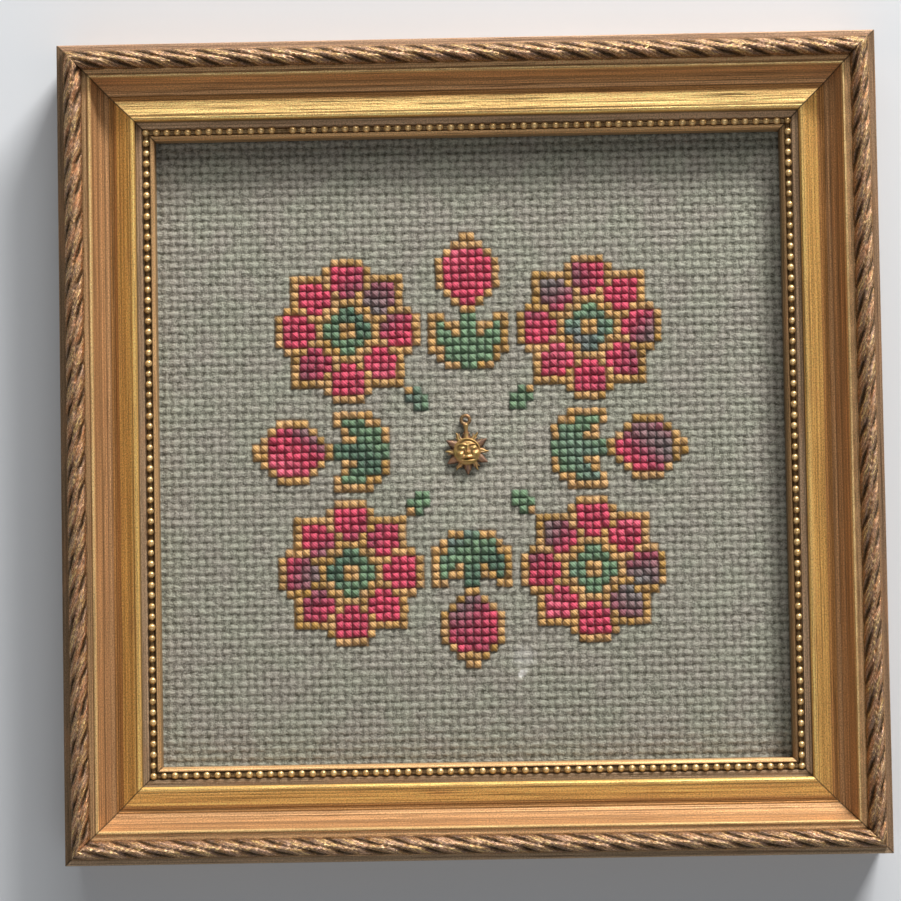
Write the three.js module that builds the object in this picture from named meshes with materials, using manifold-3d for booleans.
// Framed cross stitch: a square of evenweave cloth with a stitched rose and leaf design and a small
// metal sun charm, held in a gilded wood frame with a rope edge and a line of small beads.
//
// Millimetres, +Z up. The frame lies on its back: X runs across the picture, Y runs up the picture
// and Z points out of its face. The origin is the middle of the frame's back.

import * as THREE from 'three';
import { mergeVertices } from 'three/addons/utils/BufferGeometryUtils.js';
import Module from 'manifold-3d';

const wasm = await Module();
wasm.setup();

// Driving dimensions
const GAP = 0.3;                    // clearance between any two pieces
const PICTURE_SIZE = 152.4;         // the frame takes a six inch square picture
const SIGHT_LIP = 6.0;              // how far the frame's lip covers the picture's edge
const RAIL_WIDTH = 21.0;            // from the lip's inner edge to the outer side
const STITCH = 25.4 / 14;           // one cross stitch on cloth with 14 squares to the inch

const SIGHT_HALF = PICTURE_SIZE / 2 - SIGHT_LIP;
const MITRE_SETBACK = GAP * Math.SQRT1_2;

// Heights above the back
const LIP_UNDER_Z = 5.2;            // underside of the lip, which the cloth lies against
const LIP_TOP_Z = 9.8;
const BEAD_SEAT_Z = 9.1;
const CHANNEL_Z = 9.7;
const RIDGE_Z = 12.1;               // raised inner edge of the scoop
const SCOOP_FLOOR_Z = 10.5;
const SCOOP_TOP_Z = 14.8;
const FILLET_Z = 15.4;
const ROPE_SEAT_Z = 15.1;
const SIDE_WIDEST_Z = 12.0;         // below this the outer side slants in a little

// Distances out from the lip's inner edge
const LIP_WIDTH = 0.9;
const BEAD_SEAT_END = 2.7;
const CHANNEL_END = 4.1;
const RIDGE_AT = 4.9;
const SCOOP_FLOOR_AT = 9.2;
const SCOOP_END = 13.6;
const FILLET_END = 14.2;
const BACK_WIDTH_END = 20.2;

// Softness of the moulding's curves
const EDGE_ROUND = 0.4;
const FILLET_CROWN = 0.1;
const RIDGE_ROUND = 0.8;
const SCOOP_INNER_FOOT = 1.6;
const SCOOP_INNER_SHOULDER = 1.6;
const SCOOP_OUTER_FOOT = 2.0;
const SCOOP_OUTER_LEAN = 1.4;
const SCOOP_OUTER_LIFT = 1.7;

// Rope edge
const ROPE_CENTRE = 17.45;
const ROPE_RADIUS = 2.15;
const ROPE_HEIGHT = 3.4;
const ROPE_STRANDS = 26;            // turns of the twist along one side of the frame
const STRAND_RUN = 10.5;            // how far a strand runs along the rope while it crosses it
const STRAND_STEPS = [0.80, 1.0, 0.97];   // groove, crown and shoulder of one strand
const SPARE_STRANDS = 4;            // extra length that the mitres cut away
const ROPE_BASE_SHARE = 0.95;       // the flat underside against the full width

// Line of beads
const BEAD_CENTRE = 1.8;
const BEAD_STRIP_HALF_WIDTH = 0.6;
const BEAD_STRIP_HEIGHT = 1.0;

// Cloth and board
const CLOTH_SIZE = PICTURE_SIZE - 1.0;
const CLOTH_THICKNESS = 1.2;
const CLOTH_TOP_Z = LIP_UNDER_Z - GAP;
const CLOTH_BOTTOM_Z = CLOTH_TOP_Z - CLOTH_THICKNESS;
const BOARD_BOTTOM_Z = 0.3;
const BOARD_TOP_Z = CLOTH_BOTTOM_Z - GAP;

// Stitched design, in stitches from its own middle
const DESIGN_X = -0.4;
const DESIGN_Y = -0.3;
const STITCH_RELIEF = 0.5;          // thickness of a stitched area
const ROSE_OFFSET = 15;
const ROSE_RADIUS = 8.8;
const ROSE_SCALLOP = 0.6;
const ROSE_PETALS = 8;
const BUD_BASE = 17.0;
const BUD_TIP = 27.0;
const BUD_HALF_WIDTH = 4.2;
const SPRAY_LEAF_LENGTH = 9.0;
const SPRAY_LEAF_HALF_WIDTH = 2.3;
const SPRAY_LEAF_ROOT = 9.5;
const SPRAY_LEAF_LEAN = 32;         // degrees away from the stem
const STEM_HALF_WIDTH = 0.75;
const INNER_LEAF_ROOT = 7.4;
const INNER_LEAF_LENGTH = 3.8;
const INNER_LEAF_HALF_WIDTH = 1.5;

// Sun charm
const CHARM_X = -1.1;
const CHARM_Y = -0.7;
const CHARM_TURN = 2;               // degrees anticlockwise
const CHARM_THICKNESS = 0.9;
const CHARM_RAYS = 12;
const RAY_TIP_RADIUS = 5.3;
const RAY_ROOT_RADIUS = 3.3;
const FACE_RADIUS = 3.1;
const FACE_DOME = 0.95;
const LOOP_CENTRE = 7.1;
const LOOP_RADIUS = 1.0;
const LOOP_WIRE = 0.34;
const STEM_LENGTH = 2.0;
const LOOP_STEM_WIDTH = 1.0;

const degrees = (value) => value * Math.PI / 180;

// Materials
function material(color, roughness, metalness) {
  return new THREE.MeshStandardMaterial({ color, roughness, metalness });
}

const gilding = material(0xb07a3f, 0.42, 0.55);
const tarnish = material(0x7d5a3e, 0.5, 0.5);
const beadGold = material(0xc9a06a, 0.35, 0.6);
const clothGrey = material(0x96968a, 0.95, 0);
const boardBrown = material(0x8a7660, 0.9, 0);
const roseThread = material(0xb8465a, 0.8, 0);
const greenThread = material(0x4f6b54, 0.8, 0);
const charmBrass = material(0x9b6a45, 0.4, 0.8);

// A closed three.js geometry as a solid for cutting and joining
function toSolid(geometry) {
  const bare = geometry.index ? geometry.clone() : geometry;
  bare.deleteAttribute('normal');
  bare.deleteAttribute('uv');
  const merged = mergeVertices(bare, 1e-5);
  const index = merged.index.array;
  const kept = [];
  for (let i = 0; i < index.length; i += 3) {
    const [a, b, c] = [index[i], index[i + 1], index[i + 2]];
    if (a !== b && b !== c && c !== a) {
      kept.push(a, b, c);
    }
  }
  return new wasm.Manifold(new wasm.Mesh({
    numProp: 3,
    vertProperties: new Float32Array(merged.attributes.position.array),
    triVerts: new Uint32Array(kept),
  }));
}

function toGeometry(solid) {
  const mesh = solid.getMesh();
  const geometry = new THREE.BufferGeometry();
  geometry.setAttribute('position', new THREE.BufferAttribute(new Float32Array(mesh.vertProperties), 3));
  geometry.setIndex(new THREE.BufferAttribute(new Uint32Array(mesh.triVerts), 1));
  geometry.computeVertexNormals();
  return geometry;
}

function join(geometries) {
  return toGeometry(geometries.map(toSolid).reduce((all, one) => all.add(one)));
}

// A moulding section, drawn as distance out from the lip's inner edge against height, becomes the
// top rail's length of moulding with both ends cut to the mitre.
function mitredLength(section, curveSegments) {
  const geometry = new THREE.ExtrudeGeometry(section, {
    depth: 1,
    steps: 1,
    bevelEnabled: false,
    curveSegments,
  });
  const position = geometry.attributes.position;
  for (let i = 0; i < position.count; i += 1) {
    const out = SIGHT_HALF + position.getX(i);
    const height = position.getY(i);
    const side = 2 * position.getZ(i) - 1;
    position.setXYZ(i, side * (out - MITRE_SETBACK), out, height);
  }
  geometry.computeVertexNormals();
  return geometry;
}

function railSection() {
  const s = new THREE.Shape();
  s.moveTo(0, LIP_UNDER_Z);
  s.lineTo(SIGHT_LIP, LIP_UNDER_Z);
  s.lineTo(SIGHT_LIP, 0);
  s.lineTo(BACK_WIDTH_END, 0);
  s.lineTo(RAIL_WIDTH, SIDE_WIDEST_Z);
  s.lineTo(RAIL_WIDTH, ROPE_SEAT_Z - EDGE_ROUND);
  s.quadraticCurveTo(RAIL_WIDTH, ROPE_SEAT_Z, RAIL_WIDTH - EDGE_ROUND, ROPE_SEAT_Z);
  s.lineTo(FILLET_END, ROPE_SEAT_Z);
  s.lineTo(FILLET_END, FILLET_Z - FILLET_CROWN);
  s.quadraticCurveTo(
    (SCOOP_END + FILLET_END) / 2, FILLET_Z + FILLET_CROWN,
    SCOOP_END, FILLET_Z - FILLET_CROWN,
  );
  s.lineTo(SCOOP_END, SCOOP_TOP_Z);
  s.bezierCurveTo(
    SCOOP_END - SCOOP_OUTER_LEAN, SCOOP_FLOOR_Z + SCOOP_OUTER_LIFT,
    SCOOP_FLOOR_AT + SCOOP_OUTER_FOOT, SCOOP_FLOOR_Z,
    SCOOP_FLOOR_AT, SCOOP_FLOOR_Z,
  );
  s.bezierCurveTo(
    SCOOP_FLOOR_AT - SCOOP_INNER_FOOT, SCOOP_FLOOR_Z,
    RIDGE_AT + SCOOP_INNER_SHOULDER, RIDGE_Z - EDGE_ROUND,
    RIDGE_AT, RIDGE_Z,
  );
  s.quadraticCurveTo(CHANNEL_END, RIDGE_Z, CHANNEL_END, RIDGE_Z - RIDGE_ROUND);
  s.lineTo(CHANNEL_END, CHANNEL_Z);
  s.lineTo(BEAD_SEAT_END, CHANNEL_Z);
  s.lineTo(BEAD_SEAT_END, BEAD_SEAT_Z);
  s.lineTo(LIP_WIDTH, BEAD_SEAT_Z);
  s.lineTo(LIP_WIDTH, LIP_TOP_Z);
  s.lineTo(EDGE_ROUND, LIP_TOP_Z);
  s.quadraticCurveTo(0, LIP_TOP_Z, 0, LIP_TOP_Z - EDGE_ROUND);
  s.closePath();
  return s;
}

// Half-round strip that stands for the line of beads
function beadSection() {
  const base = BEAD_SEAT_Z + GAP;
  const s = new THREE.Shape();
  s.moveTo(BEAD_CENTRE - BEAD_STRIP_HALF_WIDTH, base);
  s.lineTo(BEAD_CENTRE + BEAD_STRIP_HALF_WIDTH, base);
  s.absellipse(BEAD_CENTRE, base, BEAD_STRIP_HALF_WIDTH, BEAD_STRIP_HEIGHT, 0, Math.PI, false);
  s.closePath();
  return s;
}

// The rope is a half-round strip. Each strand crosses it on a slant, so the lines of points that
// make its groove, crown and shoulder are slanted too. The mitres are cut last.
function ropeGeometry() {
  const section = new THREE.Shape();
  section.moveTo(ROPE_RADIUS, 0);
  section.absarc(0, 0, ROPE_RADIUS, 0, Math.PI, false);
  section.closePath();

  const pitch = 2 * (SIGHT_HALF + ROPE_CENTRE) / ROPE_STRANDS;
  const strands = ROPE_STRANDS + SPARE_STRANDS;
  const steps = strands * STRAND_STEPS.length;
  const geometry = new THREE.ExtrudeGeometry(section, {
    depth: strands * pitch,
    steps,
    bevelEnabled: false,
    curveSegments: 4,
  });
  const position = geometry.attributes.position;
  for (let i = 0; i < position.count; i += 1) {
    const across = position.getX(i);
    const up = position.getY(i);
    const along = position.getZ(i);
    const turn = Math.atan2(up, across) / Math.PI;
    const station = Math.round(along / pitch * STRAND_STEPS.length);
    const swell = STRAND_STEPS[station % STRAND_STEPS.length];
    const atBase = up < 1e-6;
    position.setXYZ(
      i,
      along - strands * pitch / 2 + (turn - 0.5) * STRAND_RUN,
      SIGHT_HALF + ROPE_CENTRE + across * (atBase ? ROPE_BASE_SHARE : swell),
      ROPE_SEAT_Z + GAP + (atBase ? 0 : up * swell * ROPE_HEIGHT / ROPE_RADIUS),
    );
  }

  const near = SIGHT_HALF + ROPE_CENTRE - ROPE_RADIUS - 1;
  const far = SIGHT_HALF + RAIL_WIDTH + 1;
  const wedge = new THREE.Shape();
  wedge.moveTo(MITRE_SETBACK - near, near);
  wedge.lineTo(near - MITRE_SETBACK, near);
  wedge.lineTo(far - MITRE_SETBACK, far);
  wedge.lineTo(MITRE_SETBACK - far, far);
  wedge.closePath();
  const wedgeGeometry = new THREE.ExtrudeGeometry(wedge, { depth: 40, bevelEnabled: false });
  return toGeometry(toSolid(geometry).intersect(toSolid(wedgeGeometry)));
}

// Flat stitched areas
function stitchedArea(shape, curveSegments = 8) {
  return new THREE.ExtrudeGeometry(shape, {
    depth: STITCH_RELIEF,
    bevelEnabled: false,
    curveSegments,
  });
}

function roseShape() {
  const points = [];
  const count = ROSE_PETALS * 4;
  for (let i = 0; i < count; i += 1) {
    const angle = 2 * Math.PI * i / count;
    const radius = STITCH * (ROSE_RADIUS + ROSE_SCALLOP * Math.cos(ROSE_PETALS * angle));
    points.push(new THREE.Vector2(radius * Math.cos(angle), radius * Math.sin(angle)));
  }
  return new THREE.Shape(points);
}

// A pointed leaf from its root at the origin to its tip up the Y axis
function leafShape(length, halfWidth) {
  const s = new THREE.Shape();
  s.moveTo(0, 0);
  s.quadraticCurveTo(2 * halfWidth, length / 2, 0, length);
  s.quadraticCurveTo(-2 * halfWidth, length / 2, 0, 0);
  return s;
}

// Bud, stem and a pair of leaves, growing out from the design's middle
function sprayGeometry() {
  const bud = stitchedArea(leafShape(STITCH * (BUD_TIP - BUD_BASE), STITCH * BUD_HALF_WIDTH));
  bud.translate(0, STITCH * BUD_BASE, 0);
  const half = STITCH * STEM_HALF_WIDTH;
  const stem = new THREE.BoxGeometry(2 * half, STITCH * (BUD_BASE - SPRAY_LEAF_ROOT + 1), STITCH_RELIEF);
  stem.translate(0, STITCH * (BUD_BASE + SPRAY_LEAF_ROOT + 1) / 2, STITCH_RELIEF / 2);
  const leaves = [-1, 1].map((side) => {
    const leaf = stitchedArea(leafShape(STITCH * SPRAY_LEAF_LENGTH, STITCH * SPRAY_LEAF_HALF_WIDTH));
    leaf.rotateZ(degrees(-side * SPRAY_LEAF_LEAN));
    leaf.translate(0, STITCH * SPRAY_LEAF_ROOT, 0);
    return leaf;
  });
  return join([bud, stem, ...leaves]);
}

function charmGeometry() {
  const star = new THREE.Shape();
  for (let i = 0; i < 2 * CHARM_RAYS; i += 1) {
    const angle = Math.PI / 2 + Math.PI * i / CHARM_RAYS;
    const radius = i % 2 === 0 ? RAY_TIP_RADIUS : RAY_ROOT_RADIUS;
    const x = radius * Math.cos(angle);
    const y = radius * Math.sin(angle);
    if (i === 0) {
      star.moveTo(x, y);
    } else {
      star.lineTo(x, y);
    }
  }
  star.closePath();
  const rays = new THREE.ExtrudeGeometry(star, { depth: CHARM_THICKNESS, bevelEnabled: false });

  const profile = [new THREE.Vector2(0, CHARM_THICKNESS / 2)];
  const rings = 5;
  for (let i = 0; i <= rings; i += 1) {
    const angle = Math.PI / 2 * i / rings;
    profile.push(new THREE.Vector2(
      i === rings ? 0 : FACE_RADIUS * Math.cos(angle),
      CHARM_THICKNESS + FACE_DOME * Math.sin(angle),
    ));
  }
  profile.splice(1, 0, new THREE.Vector2(FACE_RADIUS, CHARM_THICKNESS / 2));
  const face = new THREE.LatheGeometry(profile, 20);
  face.rotateX(Math.PI / 2);

  const loop = new THREE.TorusGeometry(LOOP_RADIUS, LOOP_WIRE, 8, 18);
  loop.translate(0, LOOP_CENTRE, CHARM_THICKNESS / 2);
  const stem = new THREE.BoxGeometry(LOOP_STEM_WIDTH, STEM_LENGTH, CHARM_THICKNESS * 0.7);
  stem.translate(0, LOOP_CENTRE - LOOP_RADIUS - STEM_LENGTH / 2, CHARM_THICKNESS / 2);
  return join([rays, face, loop, stem]);
}

function addMesh(parent, name, geometry, finish) {
  const mesh = new THREE.Mesh(geometry, finish);
  mesh.name = name;
  parent.add(mesh);
  return mesh;
}

const framedPicture = new THREE.Group();

// Frame: four mitred lengths of the same moulding, each with its rope and its line of beads
const sides = ['top', 'left', 'bottom', 'right'];
sides.forEach((side, quarter) => {
  const length = new THREE.Group();
  length.rotation.z = quarter * Math.PI / 2;
  addMesh(length, `rail_${side}`, mitredLength(railSection(), 6), gilding);
  addMesh(length, `rope_${side}`, ropeGeometry(), tarnish);
  addMesh(length, `beads_${side}`, mitredLength(beadSection(), 6), beadGold);
  framedPicture.add(length);
});

// Picture: cloth on a plain board, both inside the frame's rebate
const cloth = addMesh(
  framedPicture,
  'cloth',
  new THREE.BoxGeometry(CLOTH_SIZE, CLOTH_SIZE, CLOTH_THICKNESS),
  clothGrey,
);
cloth.position.z = CLOTH_BOTTOM_Z + CLOTH_THICKNESS / 2;
const board = addMesh(
  framedPicture,
  'backing_board',
  new THREE.BoxGeometry(CLOTH_SIZE, CLOTH_SIZE, BOARD_TOP_Z - BOARD_BOTTOM_Z),
  boardBrown,
);
board.position.z = (BOARD_TOP_Z + BOARD_BOTTOM_Z) / 2;

// Stitched design: a rose on each diagonal, a spray on each axis and a small leaf inside each rose
const design = new THREE.Group();
design.position.set(DESIGN_X, DESIGN_Y, CLOTH_TOP_Z + GAP);
framedPicture.add(design);
const corners = ['upper_right', 'upper_left', 'lower_left', 'lower_right'];
corners.forEach((corner, quarter) => {
  const arm = new THREE.Group();
  arm.rotation.z = quarter * Math.PI / 2;
  design.add(arm);
  const rose = addMesh(arm, `rose_${corner}`, stitchedArea(roseShape()), roseThread);
  rose.position.set(STITCH * ROSE_OFFSET, STITCH * ROSE_OFFSET, 0);
  const leaf = addMesh(
    arm,
    `leaf_${corner}`,
    stitchedArea(leafShape(STITCH * INNER_LEAF_LENGTH, STITCH * INNER_LEAF_HALF_WIDTH)),
    greenThread,
  );
  leaf.rotation.z = -Math.PI / 4;
  leaf.position.set(
    STITCH * INNER_LEAF_ROOT * Math.SQRT1_2,
    STITCH * INNER_LEAF_ROOT * Math.SQRT1_2,
    0,
  );
});
sides.forEach((side, quarter) => {
  const arm = new THREE.Group();
  arm.rotation.z = quarter * Math.PI / 2;
  design.add(arm);
  addMesh(arm, `spray_${side}`, sprayGeometry(), greenThread);
});

const charm = addMesh(framedPicture, 'sun_charm', charmGeometry(), charmBrass);
charm.rotation.z = degrees(CHARM_TURN);
charm.position.set(CHARM_X, CHARM_Y, CLOTH_TOP_Z + GAP);

export default framedPicture;
